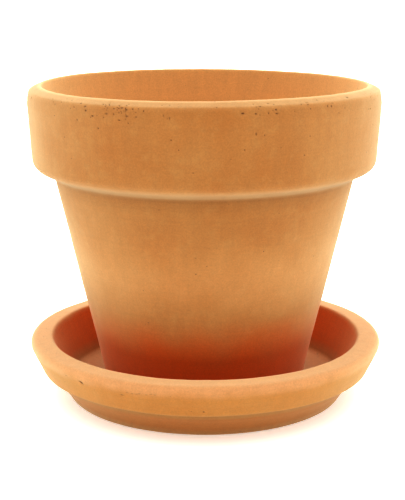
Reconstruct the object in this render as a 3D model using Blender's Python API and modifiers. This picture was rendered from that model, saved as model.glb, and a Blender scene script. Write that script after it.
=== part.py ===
"""Terracotta flower pot standing in its saucer.

Metres, +Z up. The origin is the centre of the saucer's underside, and +Z is the axis on which
both pieces were turned. The pot lifts off along that axis.
"""

from math import ceil, pi, sin, tan

import bpy
from mathutils import Vector

MM = 0.001
TURN_STEPS = 64                # facets round each piece
ARC_STEP = pi / 8              # largest turn between two outline points of a rounded corner

# Saucer
SAUCER_RIM_R = 83.3            # rim, at its widest
SAUCER_HEIGHT = 28.5
SAUCER_MOUTH_R = 71.2          # inner edge of the rim's top
SAUCER_RIM_FALL = 0.6          # fall of the rim's top from its inner to its outer edge
SAUCER_FLOOR = 6.7             # thickness of the floor
SAUCER_FLOOR_R = 62.5          # floor, where its wall begins
SAUCER_BAND_R = 76.2           # lower edge of the rim band
SAUCER_BAND_Z = 13.0           # height of that edge
SAUCER_STEP = 2.8              # how far the wall is set in under the band
SAUCER_FOOT_R = 63.9           # bottom of the wall

# Pot, heights measured from its own base
POT_HEIGHT = 138.5
POT_MOUTH_R = 72.8             # inner edge of the lip
POT_LIP_R = 79.0               # outer edge of the lip
POT_LIP_FALL = 2.9             # fall of the lip from its inner to its outer edge
POT_RIM_R = 79.9               # rim band, at its widest
POT_RIM_Z = 131.0              # height of its widest part
POT_BAND_R = 78.0              # rim band, where its side turns in
POT_BAND_Z = 101.2             # height of that turn
POT_WALL_TOP_R = 68.4          # outside of the wall, where the band's underside meets it
POT_WALL_TOP_Z = 96.4          # height of that meeting
POT_BASE_R = 46.3
POT_FLOOR = 9.0                # thickness of the floor
POT_FLOOR_R = 41.5             # inside of the wall, at the floor
DRAIN_R = 9.0                  # drainage hole in the middle of the floor

REST_GAP = 0.3                 # clearance between the pot's base and the saucer's floor


def rounded(corners):
    """Outline through (radius, height, rounding) corners, with an arc at each rounded one."""
    points = []
    for index, (radius, height, rounding) in enumerate(corners):
        corner = Vector((radius, height))
        if not rounding:
            points.append(corner)
            continue
        to_last = (Vector(corners[index - 1][:2]) - corner).normalized()
        to_next = (Vector(corners[(index + 1) % len(corners)][:2]) - corner).normalized()
        half_angle = to_last.angle(to_next) / 2
        reach = rounding / tan(half_angle)
        centre = corner + (to_last + to_next).normalized() * rounding / sin(half_angle)
        first = (corner + to_last * reach - centre).normalized()
        last = (corner + to_next * reach - centre).normalized()
        steps = ceil((pi - 2 * half_angle) / ARC_STEP)
        points += [centre + first.slerp(last, step / steps) * rounding for step in range(steps + 1)]
    return points


def saucer_outline():
    """From the middle of the floor out, over the rim and down to the middle of the underside."""
    return rounded([
        (0, SAUCER_FLOOR, 0),
        (SAUCER_FLOOR_R, SAUCER_FLOOR, 3),
        (SAUCER_MOUTH_R, SAUCER_HEIGHT, 1.8),
        (SAUCER_RIM_R, SAUCER_HEIGHT - SAUCER_RIM_FALL, 2.8),
        (SAUCER_BAND_R + 3.7, SAUCER_BAND_Z + 7.7, 8),
        (SAUCER_BAND_R, SAUCER_BAND_Z, 1),
        (SAUCER_BAND_R - SAUCER_STEP, SAUCER_BAND_Z - 0.3, 0.5),
        (SAUCER_FOOT_R + 2.6, SAUCER_BAND_Z / 3, 8),
        (SAUCER_FOOT_R, 0, 1.5),
        (0, 0, 0),
    ])


def pot_outline():
    """Closed loop: down the outside, in under the base, up the hole and up the inside."""
    return rounded([
        (POT_MOUTH_R, POT_HEIGHT, 1.5),
        (POT_LIP_R, POT_HEIGHT - POT_LIP_FALL, 1.5),
        (POT_RIM_R, POT_RIM_Z, 12),
        (POT_BAND_R, POT_BAND_Z, 5),
        (POT_WALL_TOP_R, POT_WALL_TOP_Z, 3),
        (POT_BASE_R, 0, 2),
        (DRAIN_R, 0, 1),
        (DRAIN_R, POT_FLOOR, 1.5),
        (POT_FLOOR_R, POT_FLOOR, 7),
    ])


def clay(name, colour, roughness):
    """Unglazed fired clay."""
    material = bpy.data.materials.new(name)
    material.use_nodes = True
    shader = material.node_tree.nodes["Principled BSDF"]
    shader.inputs["Base Color"].default_value = (*colour, 1)
    shader.inputs["Roughness"].default_value = roughness
    shader.inputs["Metallic"].default_value = 0
    return material


def turned(name, outline, closed, height, material, collection):
    """Solid of revolution about +Z, standing at the given height on the axis."""
    mesh = bpy.data.meshes.new(name)
    count = len(outline)
    edges = [(index, (index + 1) % count) for index in range(count if closed else count - 1)]
    mesh.from_pydata([(point.x * MM, 0, point.y * MM) for point in outline], edges, [])
    mesh.materials.append(material)
    piece = bpy.data.objects.new(name, mesh)
    piece.location.z = height * MM
    collection.objects.link(piece)
    screw = piece.modifiers.new("turn", "SCREW")
    screw.axis = "Z"
    screw.angle = 2 * pi
    screw.steps = TURN_STEPS
    screw.render_steps = TURN_STEPS
    screw.use_merge_vertices = True
    screw.merge_threshold = 0.01 * MM
    screw.use_smooth_shade = True
    return piece


def main():
    for old in list(bpy.data.objects):
        bpy.data.objects.remove(old)
    collection = bpy.data.collections.new("terracotta_pot")
    bpy.context.scene.collection.children.link(collection)

    saucer_clay = clay("saucer_clay", (0.56, 0.22, 0.07), 0.9)
    pot_clay = clay("pot_clay", (0.55, 0.21, 0.065), 0.9)
    turned("saucer", saucer_outline(), False, 0, saucer_clay, collection)
    turned("pot", pot_outline(), True, SAUCER_FLOOR + REST_GAP, pot_clay, collection)


main()
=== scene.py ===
"""Looks of the terracotta pot and its saucer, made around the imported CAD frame.

Metres, +Z up. Both pieces are turned about +Z, so each one is its CAD outline swept round the
axis in fine steps, then worn the way fired clay is: a lip that is a little out of true, soft
unevenness, and the pits and nicks that air bubbles and handling leave.
"""

import random
from collections import defaultdict
from math import atan2, cos, exp, hypot, pi, radians, sin

import bmesh
import bpy
import numpy as np
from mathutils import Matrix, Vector, noise


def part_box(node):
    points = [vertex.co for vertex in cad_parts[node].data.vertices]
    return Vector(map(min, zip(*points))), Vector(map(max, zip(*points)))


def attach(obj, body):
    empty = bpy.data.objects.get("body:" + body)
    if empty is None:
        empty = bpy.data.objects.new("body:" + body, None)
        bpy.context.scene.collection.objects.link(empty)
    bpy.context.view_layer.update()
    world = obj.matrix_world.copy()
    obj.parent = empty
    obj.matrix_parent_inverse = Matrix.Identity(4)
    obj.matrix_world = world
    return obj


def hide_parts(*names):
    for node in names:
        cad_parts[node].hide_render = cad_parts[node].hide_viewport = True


MM = 0.001

# Camera
CAMERA_DISTANCE = 0.5644
CAMERA_HEIGHT = 0.2004
CAMERA_SIDE = -0.0013
CAMERA_DOWN = radians(13.34)
CAMERA_LENS = 89.8             # for a 36 mm frame along the picture's long side

# Turned surfaces
SWEEP_STEPS = 512              # facets round each piece
OUTLINE_STEP = 0.25 * MM       # spacing at which the CAD outline is softened
OUTLINE_SOFTNESS = 0.35 * MM   # how far the wet clay's edges are worn down
POT_RIM_ZONE = 72.0 * MM       # radius outside which the pot's rings are close together
POT_RIM_SPACING = 1.1 * MM
SAUCER_RIM_ZONE = 68.0 * MM
SAUCER_RIM_SPACING = 0.6 * MM
WALL_SPACING = 5.0 * MM        # rings on the plain walls
RING_TURN = radians(7)         # largest turn of the outline between rings
POT_OFF_CENTRE = -0.45 * MM    # the pot was set down a little to -X of the saucer's middle

# Unevenness of the skin
LUMPS = (                      # (depth, size, seed)
    (0.10 * MM, 22 * MM, 1.0),
    (0.03 * MM, 7 * MM, 4.0),
)
RIPPLE_DEPTH = 0.11 * MM       # ridges left by the turning
RIPPLE_HEIGHT = 1.7 * MM
RIPPLE_LENGTH = 45 * MM
LIP_ROUGHNESS = 0.07 * MM
LIP_LUMP = 3.2 * MM
LIP_REACH = 4 * MM             # how far below the lip it is rough
PIT_DEPTH = 0.35 * MM          # a deep one
PIT_MARGIN = 0.8 * MM          # how far round a pit the faces are split

# Painted shade and light on the pot, and a paler band: heights above the ground, radii from the axis, and
# the strength of each kind.
# A pair of heights is where it is absent and where it is full.
# Painted shade: the foot is painted a redder, deeper orange where the saucer shades it.
POT_SHADE_Z = (51 * MM, 24 * MM)
POT_SHADE = 0.95
POT_PALE_BAND_Z = 66 * MM           # paler band above the foot's painted shade
POT_PALE_BAND_REACH = 14 * MM
POT_PALE_BAND = 0.35
# Painted light: the lip is painted paler where the top light falls on it.
POT_LIP_Z = (140.5 * MM, 143.5 * MM)
POT_LIP_LIGHT = 0.3
# Painted shade in the crease under the band.
POT_BAND_SHADE_Z = 104.5 * MM        # where the band's underside meets the wall
POT_BAND_SHADE_REACH = 2.5 * MM
POT_BAND_SHADE = 0.32
POT_BASE_Z = 7 * MM
POT_WALL_MIDDLE = 44 * MM      # radius halfway through the wall at its base: the inside lies within it
POT_WALL_FLARE = 0.224         # growth of that radius with height

# Painted shade and light on the saucer, in the same terms; a pair of radii likewise
# Painted shade up the saucer's inside, and a little on its foot under the band.
SAUCER_SHADE_R = (72.2 * MM, 70 * MM)
# Painted light: the rim's top is painted paler where the top light falls on it.
SAUCER_RIM_Z = (21 * MM, 27 * MM)
SAUCER_RIM_LIGHT = 0.9
# Painted light: the saucer's floor is painted paler, as the light from above makes it look.
SAUCER_FLOOR_Z = (9 * MM, 7 * MM)
SAUCER_FLOOR_R = (66 * MM, 62 * MM)
SAUCER_FOOT_Z = 13 * MM        # top of the foot, under the band
SAUCER_FOOT_R = 62 * MM        # and the radius that it lies outside
SAUCER_FOOT_SHADE = 0.35        # share of the painted shade that shows there
# Painted shade on the saucer's foot, under the band's overhang.
SAUCER_BAND_SHADE_Z = (14 * MM, 11.5 * MM)
SAUCER_BAND_SHADE_R = (62 * MM, 64 * MM)
SAUCER_BAND_SHADE = 0.22

# Burst bubbles along the pot's rim: (azimuth from -Y in degrees, spread in degrees, how many)
BUBBLE_CLUSTERS = (
    (-46, 6, 7),
    (-30, 4, 24),
    (-24, 2, 12),
    (-13, 6, 16),
    (14, 2, 9),
    (20, 2, 6),
    (35, 5, 9),
    (68, 4, 8),
    (115, 12, 20),
    (170, 15, 24),
    (-120, 12, 22),
)
STRAY_BUBBLES = 40
BUBBLE_DROP = 1.2 * MM         # depth below the lip of the highest ones
BUBBLE_SPREAD = 2.8 * MM       # how far down most of them reach from there
SAUCER_DASHES = 7              # short level scratches beside the nick
SAUCER_SPECKS = 14             # small pits all round the saucer

# Clay colours, as linear red, green and blue. The redder, deeper ones are painted shade for the dim light
# inside the saucer: they are redder and brighter than damp clay is, and look it where the light is full,
# as on the lifted pot. The palest ones are painted light on lips, rims, the pot's inside and the saucer's
# floor, and also colour a paler band above the pot's foot.
POT_COLOURS = {
    "body": (0.55, 0.295, 0.10, 1),
    "pale": (0.60, 0.385, 0.17, 1),
    "painted_shade": (0.71, 0.17, 0.0, 1),
    "pale_and_painted_light": (0.78, 0.54, 0.28, 1),
}
SAUCER_COLOURS = {
    "body": (0.61, 0.325, 0.09, 1),
    "pale": (0.65, 0.39, 0.14, 1),
    "painted_shade": (0.73, 0.225, 0.0, 1),
    "pale_and_painted_light": (0.75, 0.50, 0.28, 1),
}
# Painted shade, for pinholes, pits and the creases under the bands.
PAINTED_SHADE_COLOUR = (0.10, 0.014, 0.0, 1)
BLOOM_TINT = (0.74, 0.84, 0.74, 1)      # of the dusty sheen

# Light and view
FLOOR_SIZE = 24                # metres
FLOOR_ALBEDO = 0.80
FLOOR_GLOW = 0.42              # keeps its shadows faint
FRONT_LIGHT = 0.32             # strength of the tent on the camera's side
BACK_LIGHT = 1.55
OVERHEAD_LIGHT = 1.08          # what it gains towards the top
CONTRAST = 1.85                # the picture's steep tone curve, as a power


def cut_outline(node):
    """The CAD node's cut through +X as an ordered array of (radius, height), and whether it closes."""
    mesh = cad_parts[node].data
    on_cut = {}
    for vertex in mesh.vertices:
        x, y, z = vertex.co
        if abs(y) < 1e-6 and x > 0:
            on_cut[vertex.index] = (round(x, 6), round(z, 6))
    links = defaultdict(set)
    for edge in mesh.edges:
        ends = [on_cut.get(index) for index in edge.vertices]
        if None not in ends and ends[0] != ends[1]:
            links[ends[0]].add(ends[1])
            links[ends[1]].add(ends[0])
    loose = sorted((point for point in links if len(links[point]) == 1), key=lambda point: -point[1])
    closed = not loose
    chain = [loose[0] if loose else max(links)]
    while True:
        ahead = sorted(links[chain[-1]] - set(chain))
        if not ahead:
            break
        chain.append(ahead[0])
    if not closed:
        chain = [(0.0, chain[0][1]), *chain, (0.0, chain[-1][1])]
    points = np.array(chain)
    after = np.roll(points, -1, axis=0)
    area = np.sum(points[:, 0] * after[:, 1] - after[:, 0] * points[:, 1])
    return (points[::-1] if area > 0 else points), closed


def respaced(points, closed, step):
    """The same outline with evenly spaced points."""
    if closed:
        points = np.vstack([points, points[:1]])
    along = np.concatenate([[0], np.cumsum(np.linalg.norm(np.diff(points, axis=0), axis=1))])
    count = int(along[-1] / step)
    wanted = np.linspace(0, along[-1], count + 1)
    even = np.column_stack([np.interp(wanted, along, points[:, axis]) for axis in (0, 1)])
    return even[:-1] if closed else even


def softened(points, closed):
    """The outline with its corners worn down."""
    reach = int(4 * OUTLINE_SOFTNESS / OUTLINE_STEP)
    weights = np.exp(-0.5 * (np.arange(-reach, reach + 1) * OUTLINE_STEP / OUTLINE_SOFTNESS) ** 2)
    weights /= weights.sum()
    mode = "wrap" if closed else "edge"
    padded = np.pad(points, ((reach, reach), (0, 0)), mode=mode)
    smooth = np.column_stack([np.convolve(padded[:, axis], weights, "valid") for axis in (0, 1)])
    if not closed:
        smooth[0], smooth[-1] = points[0], points[-1]
    return smooth


def rings(points, rim_zone, rim_spacing):
    """The outline points that become rings: close together where it turns, and beyond rim_zone."""
    kept = [0]
    travelled = 0.0
    turned = 0.0
    for index in range(1, len(points) - 1):
        back = points[index] - points[index - 1]
        on = points[index + 1] - points[index]
        travelled += np.linalg.norm(back)
        turned += abs(np.arctan2(back[0] * on[1] - back[1] * on[0], back @ on))
        spacing = rim_spacing if points[index][0] > rim_zone else WALL_SPACING
        if travelled >= spacing or turned >= RING_TURN:
            kept.append(index)
            travelled = 0.0
            turned = 0.0
    kept.append(len(points) - 1)
    return points[kept]


def swept(outline, closed):
    """A bmesh of the outline turned about +Z."""
    bm = bmesh.new()
    columns = []
    poles = {}
    for step in range(SWEEP_STEPS):
        angle = 2 * pi * step / SWEEP_STEPS
        column = []
        for row, (radius, height) in enumerate(outline):
            if radius < 1e-9:
                if row not in poles:
                    poles[row] = bm.verts.new((0, 0, height))
                column.append(poles[row])
            else:
                column.append(bm.verts.new((radius * cos(angle), radius * sin(angle), height)))
        columns.append(column)
    count = len(outline)
    for step, column in enumerate(columns):
        beside = columns[(step + 1) % SWEEP_STEPS]
        for row in range(count if closed else count - 1):
            below = (row + 1) % count
            corners = [column[row], column[below], beside[below], beside[row]]
            bm.faces.new(list(dict.fromkeys(corners)))
    bm.normal_update()
    return bm


class Pit:
    """A small hollow in the skin of the clay, as long as it is wide unless it was dragged."""

    def __init__(self, place, along, length, width, depth):
        self.place = place
        self.along = along
        self.length = length
        self.width = width
        self.depth = depth

    def hollow(self, point):
        """How far the skin is pushed in at a point."""
        offset = point - self.place
        run = offset.dot(self.along)
        aside = (offset - self.along * run).length
        off_centre = (run / self.length) ** 2 + (aside / self.width) ** 2
        return self.depth * exp(-off_centre * 1.6) if off_centre < 6 else 0.0


def refine(bm, pits):
    """Splits the faces round each pit finely enough to hold its shape."""
    centres = np.array([face.calc_center_median() for face in bm.faces])
    bm.faces.ensure_lookup_table()
    near = set()
    for pit in pits:
        distance = np.linalg.norm(centres - np.array(pit.place), axis=1)
        near.update(np.nonzero(distance < max(pit.length, pit.width) + PIT_MARGIN)[0].tolist())
    edges = {edge for index in near for edge in bm.faces[index].edges}
    bmesh.ops.subdivide_edges(bm, edges=list(edges), cuts=3, use_grid_fill=True, use_single_edge=True)
    bm.normal_update()


def uneven(point, size, seed):
    """Smooth noise from -1 to 1 with lumps of about the given size."""
    return noise.noise(point / size + Vector((seed, seed * 1.7, seed * 2.3)))


def ripple(point):
    """The marks of the turning: level ridges that come and go round the piece, -1 to 1."""
    around = Vector((point.x, point.y, 0)) / RIPPLE_LENGTH
    strength = min(1.0, max(0.0, 0.6 + 1.4 * noise.noise(around + Vector((5.5, 0, 0)))))
    return strength * noise.noise(around * 0.6 + Vector((0, 0, point.z / RIPPLE_HEIGHT)))


def step_up(value, low, high):
    """0 below low, 1 above high and smooth between; the other way round if high is the lower one."""
    share = min(1.0, max(0.0, (value - low) / (high - low)))
    return share * share * (3 - 2 * share)


def pot_light_and_shade(point):
    """Painted shade on the foot, pale and painted light (a paler band, the lip, the inside), painted
    shade in the crease.
    """
    radius = hypot(point.x, point.y)
    edge = point.z + 5 * MM * uneven(point, 14 * MM, 2.0)
    # painted shade on the foot, where the saucer shades it
    painted_shade = POT_SHADE * step_up(edge, *POT_SHADE_Z)
    # a paler band above it
    pale_band = POT_PALE_BAND * exp(-((edge - POT_PALE_BAND_Z) / POT_PALE_BAND_REACH) ** 2)
    # painted light inside the pot, which lies in shade
    middle_of_wall = POT_WALL_MIDDLE + POT_WALL_FLARE * (point.z - POT_BASE_Z)
    inside = step_up(radius, middle_of_wall + 1 * MM, middle_of_wall - 1 * MM)
    # painted light on the lip
    lip = POT_LIP_LIGHT * step_up(point.z + 0.5 * MM * uneven(point, 6 * MM, 7.0), *POT_LIP_Z)
    # painted shade in the crease under the band
    band_shade = POT_BAND_SHADE * exp(-((point.z - POT_BAND_SHADE_Z) / POT_BAND_SHADE_REACH) ** 2) * (1 - inside)
    return painted_shade, max(lip, inside, pale_band), band_shade


def saucer_light_and_shade(point):
    """As for the pot: painted shade up the inside and a little on the foot, painted light on the rim and
    floor, painted shade under the band.
    """
    radius = hypot(point.x, point.y)
    edge = radius + 0.4 * MM * uneven(point, 12 * MM, 2.0)
    # painted light on the floor, which takes no painted shade
    floor_share = step_up(point.z, *SAUCER_FLOOR_Z) * step_up(radius, *SAUCER_FLOOR_R)
    # painted shade up the inside
    painted_shade = step_up(edge, *SAUCER_SHADE_R) * (1 - floor_share)
    # and a little painted shade on the foot, under the band
    if point.z < SAUCER_FOOT_Z and radius > SAUCER_FOOT_R:
        painted_shade *= SAUCER_FOOT_SHADE
    # painted light on the rim's top
    rim = SAUCER_RIM_LIGHT * step_up(point.z + 1 * MM * uneven(point, 8 * MM, 7.0), *SAUCER_RIM_Z)
    # painted shade on the foot under the band
    band_shade = SAUCER_BAND_SHADE * step_up(point.z, *SAUCER_BAND_SHADE_Z) * step_up(radius, *SAUCER_BAND_SHADE_R)
    return painted_shade, max(rim * (1 - painted_shade), floor_share), band_shade


def work_skin(bm, pits, lip_height, light_and_shade):
    """Moves each point along its normal: slow lumps, turning ridges, a rougher lip, and the pits.

    The material reads three layers: painted shade in the pits, by how deep each point lies, and under the
    bands; painted shade where the saucer shades the clay; and pale and painted light.
    """
    pit_and_band_shade_layer = bm.verts.layers.float.new("pit_and_band_shade")
    painted_shade_layer = bm.verts.layers.float.new("painted_shade")
    pale_and_painted_light_layer = bm.verts.layers.float.new("pale_and_painted_light")
    buckets = defaultdict(list)
    cell = 3 * MM              # further off than this a pit is too shallow to count
    for pit in pits:
        base = [int(axis // cell) for axis in pit.place]
        for shift in np.ndindex(3, 3, 3):
            buckets[tuple(base[axis] + shift[axis] - 1 for axis in range(3))].append(pit)
    moves = []
    for vertex in bm.verts:
        point = vertex.co
        push = sum(depth * (uneven(point, size, seed) - 1) for depth, size, seed in LUMPS)
        push += RIPPLE_DEPTH * (ripple(point) - 1)
        roughness = exp(-((point.z - lip_height) / LIP_REACH) ** 2)
        push += LIP_ROUGHNESS * roughness * (uneven(point, LIP_LUMP, 9.0) - 1)
        around = buckets.get(tuple(int(axis // cell) for axis in point), ())
        hollow = max((pit.hollow(point) for pit in around), default=0.0)
        painted_shade, pale_and_painted_light, band_shade = light_and_shade(point)
        vertex[painted_shade_layer] = painted_shade
        vertex[pale_and_painted_light_layer] = pale_and_painted_light
        # painted shade: darker the deeper a point lies in a pit, and under the bands
        vertex[pit_and_band_shade_layer] = max(band_shade, min(1.0, hollow / PIT_DEPTH))
        moves.append(vertex.normal * (push - hollow))
    for vertex, move in zip(bm.verts, moves):
        vertex.co += move


def finished(name, bm, body, node, material):
    """Turns the bmesh into a named piece that stands for its CAD node."""
    mesh = bpy.data.meshes.new(name)
    bm.to_mesh(mesh)
    bm.free()
    mesh.shade_smooth()
    mesh.materials.append(material)
    piece = bpy.data.objects.new(name, mesh)
    bpy.context.scene.collection.objects.link(piece)
    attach(piece, body)
    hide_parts(node)
    return piece


def outer_radius(outline, height):
    """Radius of the outermost skin at a height."""
    best = 0.0
    for (r0, z0), (r1, z1) in zip(outline[:-1], outline[1:]):
        if min(z0, z1) <= height <= max(z0, z1) and z0 != z1:
            best = max(best, r0 + (r1 - r0) * (height - z0) / (z1 - z0))
    return best


def pit_at(outline, azimuth, height, length, width, depth, slant):
    """A pit in the outer skin; slant turns its long axis up from level."""
    radius = outer_radius(outline, height)
    place = Vector((radius * cos(azimuth), radius * sin(azimuth), height))
    level = Vector((-sin(azimuth), cos(azimuth), 0))
    return Pit(place, level * cos(slant) + Vector((0, 0, 1)) * sin(slant), length, width, depth)


def bubble(rng, outline, azimuth, top):
    """A burst bubble under the lip at an azimuth from -Y."""
    drop = BUBBLE_DROP + abs(rng.gauss(0, BUBBLE_SPREAD))
    if rng.random() < 0.10:
        drop += rng.uniform(4, 22) * MM
    size = rng.uniform(0.16, 0.34) * MM
    stretch = rng.choice((1.0, 1.0, 1.4, 2.4))
    depth = rng.uniform(0.5, 1.1) * PIT_DEPTH
    slant = rng.choice((0.0, 0.15, pi / 2))
    return pit_at(outline, azimuth - pi / 2, top - drop, size * stretch, size, depth, slant)


def rim_pits(outline, top):
    """Bubbles burst just under the lip, in loose crowds with a few between them."""
    rng = random.Random(11)
    pits = []
    for middle, spread, count in BUBBLE_CLUSTERS:
        for _ in range(count):
            pits.append(bubble(rng, outline, radians(rng.gauss(middle, spread)), top))
    for _ in range(STRAY_BUBBLES):
        pits.append(bubble(rng, outline, rng.uniform(0, 2 * pi), top))
    return pits


def saucer_pits(outline, top):
    """A nick on the saucer's band, a row of dashes beside it, and a few small ones all round."""
    rng = random.Random(5)
    nick = pit_at(outline, radians(-131), top - 5.5 * MM, 1.6 * MM, 0.5 * MM, PIT_DEPTH, radians(-35))
    pits = [nick]
    for index in range(SAUCER_DASHES):
        azimuth = radians(-114 + 1.5 * index + rng.uniform(-0.4, 0.4))
        drop = rng.uniform(4.6, 5.6) * MM
        pits.append(pit_at(outline, azimuth, top - drop, 0.7 * MM, 0.24 * MM, 0.35 * PIT_DEPTH, 0.1))
    for _ in range(SAUCER_SPECKS):
        azimuth = rng.uniform(0, 2 * pi)
        drop = rng.uniform(3, 15) * MM
        size = rng.uniform(0.2, 0.35) * MM
        pits.append(pit_at(outline, azimuth, top - drop, size * rng.uniform(1, 4), size,
                           rng.uniform(0.4, 0.8) * PIT_DEPTH, 0.0))
    return pits


def soft_rings(node, rim_zone, rim_spacing):
    """The CAD node's outline with its corners worn down, as rings, and whether it closes."""
    points, closed = cut_outline(node)
    points = softened(respaced(points, closed, OUTLINE_STEP), closed)
    return rings(points, rim_zone, rim_spacing), closed


def lip_sag(azimuth):
    """How far the pot's lip has sunk at an azimuth: it is a little tilted and out of true."""
    tilt = 0.22 * (1 + sin(azimuth))
    warp = 0.28 * (1 + sin(2 * azimuth)) + 0.06 * (1 + cos(3 * azimuth))
    return (tilt + warp) * MM


def make_pot(material):
    low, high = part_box("pot")
    outline, closed = soft_rings("pot", POT_RIM_ZONE, POT_RIM_SPACING)
    bm = swept(outline, closed)
    pits = rim_pits(outline, high.z)
    refine(bm, pits)
    work_skin(bm, pits, high.z, pot_light_and_shade)
    for vertex in bm.verts:
        up = (vertex.co.z - low.z) / (high.z - low.z)
        vertex.co.z -= lip_sag(atan2(vertex.co.y, vertex.co.x)) * up ** 3
        vertex.co.x += POT_OFF_CENTRE
    return finished("pot_body", bm, "pot", "pot", material)


def make_saucer(material):
    low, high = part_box("saucer")
    outline, closed = soft_rings("saucer", SAUCER_RIM_ZONE, SAUCER_RIM_SPACING)
    bm = swept(outline, closed)
    pits = saucer_pits(outline, high.z)
    refine(bm, pits)
    work_skin(bm, pits, high.z, saucer_light_and_shade)
    return finished("saucer_body", bm, "saucer", "saucer", material)


class Nodes:
    """Short calls for building a material's node tree."""

    def __init__(self, tree):
        self.tree = tree
        coordinates = self.add("ShaderNodeTexCoord")
        self.where = coordinates.outputs["Object"]
        self.direction = coordinates.outputs["Generated"]

    def add(self, kind, values=None, **settings):
        node = self.tree.nodes.new(kind)
        for name, value in settings.items():
            setattr(node, name, value)
        for name, value in (values or {}).items():
            if isinstance(value, bpy.types.NodeSocket):
                self.tree.links.new(value, node.inputs[name])
            else:
                node.inputs[name].default_value = value
        return node

    def noise(self, where, size, detail=2.0, roughness=0.5):
        """Noise from 0 to 1 with lumps of about the given size in metres."""
        values = {"Vector": where, "Scale": 1 / size, "Detail": detail, "Roughness": roughness}
        return self.add("ShaderNodeTexNoise", values).outputs["Fac"]

    def painted(self, layer):
        """A value kept at the mesh's vertices."""
        return self.add("ShaderNodeAttribute", attribute_name=layer).outputs["Fac"]

    def noise_about(self, size, reach):
        """Noise about zero, up to about reach / 2 each way."""
        return self.math("MULTIPLY", self.math("SUBTRACT", self.noise(self.where, size), 0.5), reach)

    def ramp(self, factor, low, high, to_low=0.0, to_high=1.0):
        """factor rescaled from low..high to to_low..to_high, and held there."""
        values = {"Value": factor, "From Min": low, "From Max": high, "To Min": to_low, "To Max": to_high}
        return self.add("ShaderNodeMapRange", values).outputs["Result"]

    def mix(self, factor, a, b, blend_type="MIX"):
        node = self.tree.nodes.new("ShaderNodeMix")
        node.data_type = "RGBA"
        node.blend_type = blend_type
        for socket, value in ((node.inputs[0], factor), (node.inputs[6], a), (node.inputs[7], b)):
            if isinstance(value, bpy.types.NodeSocket):
                self.tree.links.new(value, socket)
            else:
                socket.default_value = value
        return node.outputs[2]

    def math(self, operation, a, b=0.0):
        node = self.tree.nodes.new("ShaderNodeMath")
        node.operation = operation
        for socket, value in zip(node.inputs, (a, b)):
            if isinstance(value, bpy.types.NodeSocket):
                self.tree.links.new(value, socket)
            else:
                socket.default_value = value
        return node.outputs[0]


def clay(node, colours):
    """Unglazed terracotta: mottled body colour, grog and pinholes, faint turning lines, dusty sheen;
    painted shade and light from the vertices.
    """
    material = bpy.data.materials.new(f"{node}_clay_painted_shade_and_light")
    material.use_nodes = True
    tree = material.node_tree
    shader = tree.nodes["Principled BSDF"]
    make = Nodes(tree)
    where = make.where
    split = make.add("ShaderNodeSeparateXYZ", {"Vector": where})

    clouds = make.ramp(make.noise(where, 26 * MM, 3.0), 0.3, 0.7, 0, 0.5)
    colour = make.mix(clouds, colours["body"], colours["pale"])
    mottle = make.ramp(make.noise(where, 5 * MM, 3.0, 0.6), 0.5, 0.75, 0, 0.4)
    colour = make.mix(mottle, colour, colours["pale"])
    # painted shade: redder and deeper where the saucer shades the clay
    colour = make.mix(make.painted("painted_shade"), colour, colours["painted_shade"])
    # painted light: paler lips, rims, the pot's inside and the saucer's floor, and a paler band above the
    # pot's foot
    colour = make.mix(make.painted("pale_and_painted_light"), colour, colours["pale_and_painted_light"])

    grain = make.noise(where, 0.7 * MM, 3.0, 0.7)
    tone = make.ramp(grain, 0.25, 0.75, 0.92, 1.08)
    wavy_height = make.math("ADD", split.outputs["Z"], make.noise_about(30 * MM, 5 * MM))
    lines_at = make.add("ShaderNodeCombineXYZ", {"Z": wavy_height})
    lines = make.noise(lines_at.outputs["Vector"], 1.6 * MM, 3.0, 0.6)
    tone = make.math("MULTIPLY", tone, make.ramp(lines, 0.25, 0.75, 0.98, 1.02))
    upright = make.add("ShaderNodeVectorMath", {0: where, 1: (1, 1, 0.05)}, operation="MULTIPLY")
    streaks = make.noise(upright.outputs["Vector"], 3 * MM, 3.0, 0.6)
    tone = make.math("MULTIPLY", tone, make.ramp(streaks, 0.25, 0.75, 0.975, 1.025))
    tone = make.add("ShaderNodeCombineColor", {"Red": tone, "Green": tone, "Blue": tone})
    colour = make.mix(1.0, colour, tone.outputs["Color"], "MULTIPLY")

    cells = make.add("ShaderNodeTexVoronoi", {"Vector": where, "Scale": 1 / (3.5 * MM)})
    pinhole = make.ramp(cells.outputs["Distance"], 0.03, 0.09, 1, 0)
    chosen = make.ramp(make.noise(where, 9 * MM, 2.0), 0.56, 0.60)
    pinhole = make.math("MULTIPLY", pinhole, chosen)
    # painted shade in the pinholes
    colour = make.mix(make.math("MULTIPLY", pinhole, 0.6), colour, PAINTED_SHADE_COLOUR)
    # painted shade in the pits and the creases under the bands
    colour = make.mix(make.math("MULTIPLY", make.painted("pit_and_band_shade"), 0.9), colour, PAINTED_SHADE_COLOUR)

    height = make.math("MULTIPLY", grain, 0.05)
    height = make.math("ADD", height, make.math("MULTIPLY", lines, 0.06))
    height = make.math("ADD", height, make.math("MULTIPLY", make.noise(where, 2.5 * MM, 2.0), 0.06))
    height = make.math("SUBTRACT", height, make.math("MULTIPLY", pinhole, 0.15))
    bump = make.add("ShaderNodeBump", {"Height": height, "Strength": 0.6, "Distance": 1.0 * MM})

    roughness = make.ramp(grain, 0.2, 0.8, 0.72, 0.88)
    tree.links.new(colour, shader.inputs["Base Color"])
    tree.links.new(roughness, shader.inputs["Roughness"])
    tree.links.new(bump.outputs["Normal"], shader.inputs["Normal"])
    shader.inputs["Diffuse Roughness"].default_value = 1.0
    shader.inputs["Specular IOR Level"].default_value = 0.22
    shader.inputs["Sheen Weight"].default_value = 0.5
    shader.inputs["Sheen Roughness"].default_value = 0.62
    shader.inputs["Sheen Tint"].default_value = BLOOM_TINT
    return material


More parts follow.
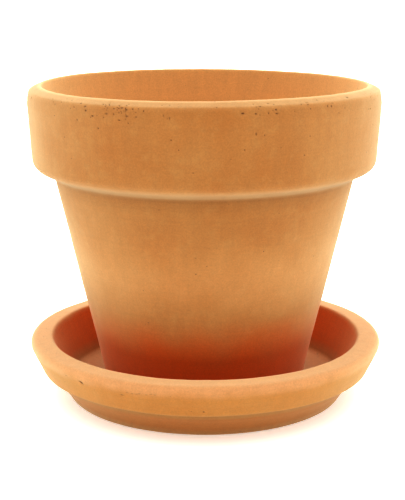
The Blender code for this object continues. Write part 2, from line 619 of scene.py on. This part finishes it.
def floor():
    """Wide pale sheet that the saucer stands on."""
    bpy.ops.mesh.primitive_plane_add(size=FLOOR_SIZE)
    sheet = bpy.context.object
    sheet.name = "studio_floor"
    material = bpy.data.materials.new("studio_floor")
    material.use_nodes = True
    shader = material.node_tree.nodes["Principled BSDF"]
    shader.inputs["Base Color"].default_value = (FLOOR_ALBEDO, FLOOR_ALBEDO, FLOOR_ALBEDO, 1)
    shader.inputs["Roughness"].default_value = 0.9
    shader.inputs["Specular IOR Level"].default_value = 0.1
    shader.inputs["Emission Color"].default_value = (1, 1, 1, 1)
    shader.inputs["Emission Strength"].default_value = FLOOR_GLOW
    sheet.data.materials.append(material)


def light_tent():
    """White all round and overhead, dimmer on the side that the pot is looked at from."""
    world = bpy.data.worlds.new("light_tent")
    bpy.context.scene.world = world
    world.use_nodes = True
    make = Nodes(world.node_tree)
    split = make.add("ShaderNodeSeparateXYZ", {"Vector": make.direction})
    side = make.ramp(split.outputs["Y"], -0.5, 0.5, FRONT_LIGHT, BACK_LIGHT)
    overhead = make.ramp(split.outputs["Z"], 0.05, 0.5, 0, OVERHEAD_LIGHT)
    strength = make.math("ADD", side, overhead)
    background = world.node_tree.nodes["Background"]
    background.inputs["Color"].default_value = (1, 1, 1, 1)
    world.node_tree.links.new(strength, background.inputs["Strength"])


def camera():
    data = bpy.data.cameras.new("camera")
    data.lens = CAMERA_LENS
    data.sensor_width = 36
    viewer = bpy.data.objects.new("camera", data)
    viewer.location = (CAMERA_SIDE, -CAMERA_DISTANCE, CAMERA_HEIGHT)
    viewer.rotation_euler = (pi / 2 - CAMERA_DOWN, 0, 0)
    bpy.context.scene.collection.objects.link(viewer)
    bpy.context.scene.camera = viewer


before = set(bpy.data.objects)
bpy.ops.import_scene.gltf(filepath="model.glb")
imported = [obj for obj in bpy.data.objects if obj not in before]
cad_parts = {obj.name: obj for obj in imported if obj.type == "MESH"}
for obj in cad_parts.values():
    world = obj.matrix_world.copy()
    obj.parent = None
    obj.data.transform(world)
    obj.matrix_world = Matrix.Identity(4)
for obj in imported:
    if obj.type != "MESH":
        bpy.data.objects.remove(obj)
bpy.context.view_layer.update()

bpy.context.scene.view_settings.view_transform = "Standard"
bpy.context.scene.view_settings.gamma = 1 / CONTRAST
camera()
light_tent()
floor()
make_pot(clay("pot", POT_COLOURS))
make_saucer(clay("saucer", SAUCER_COLOURS))
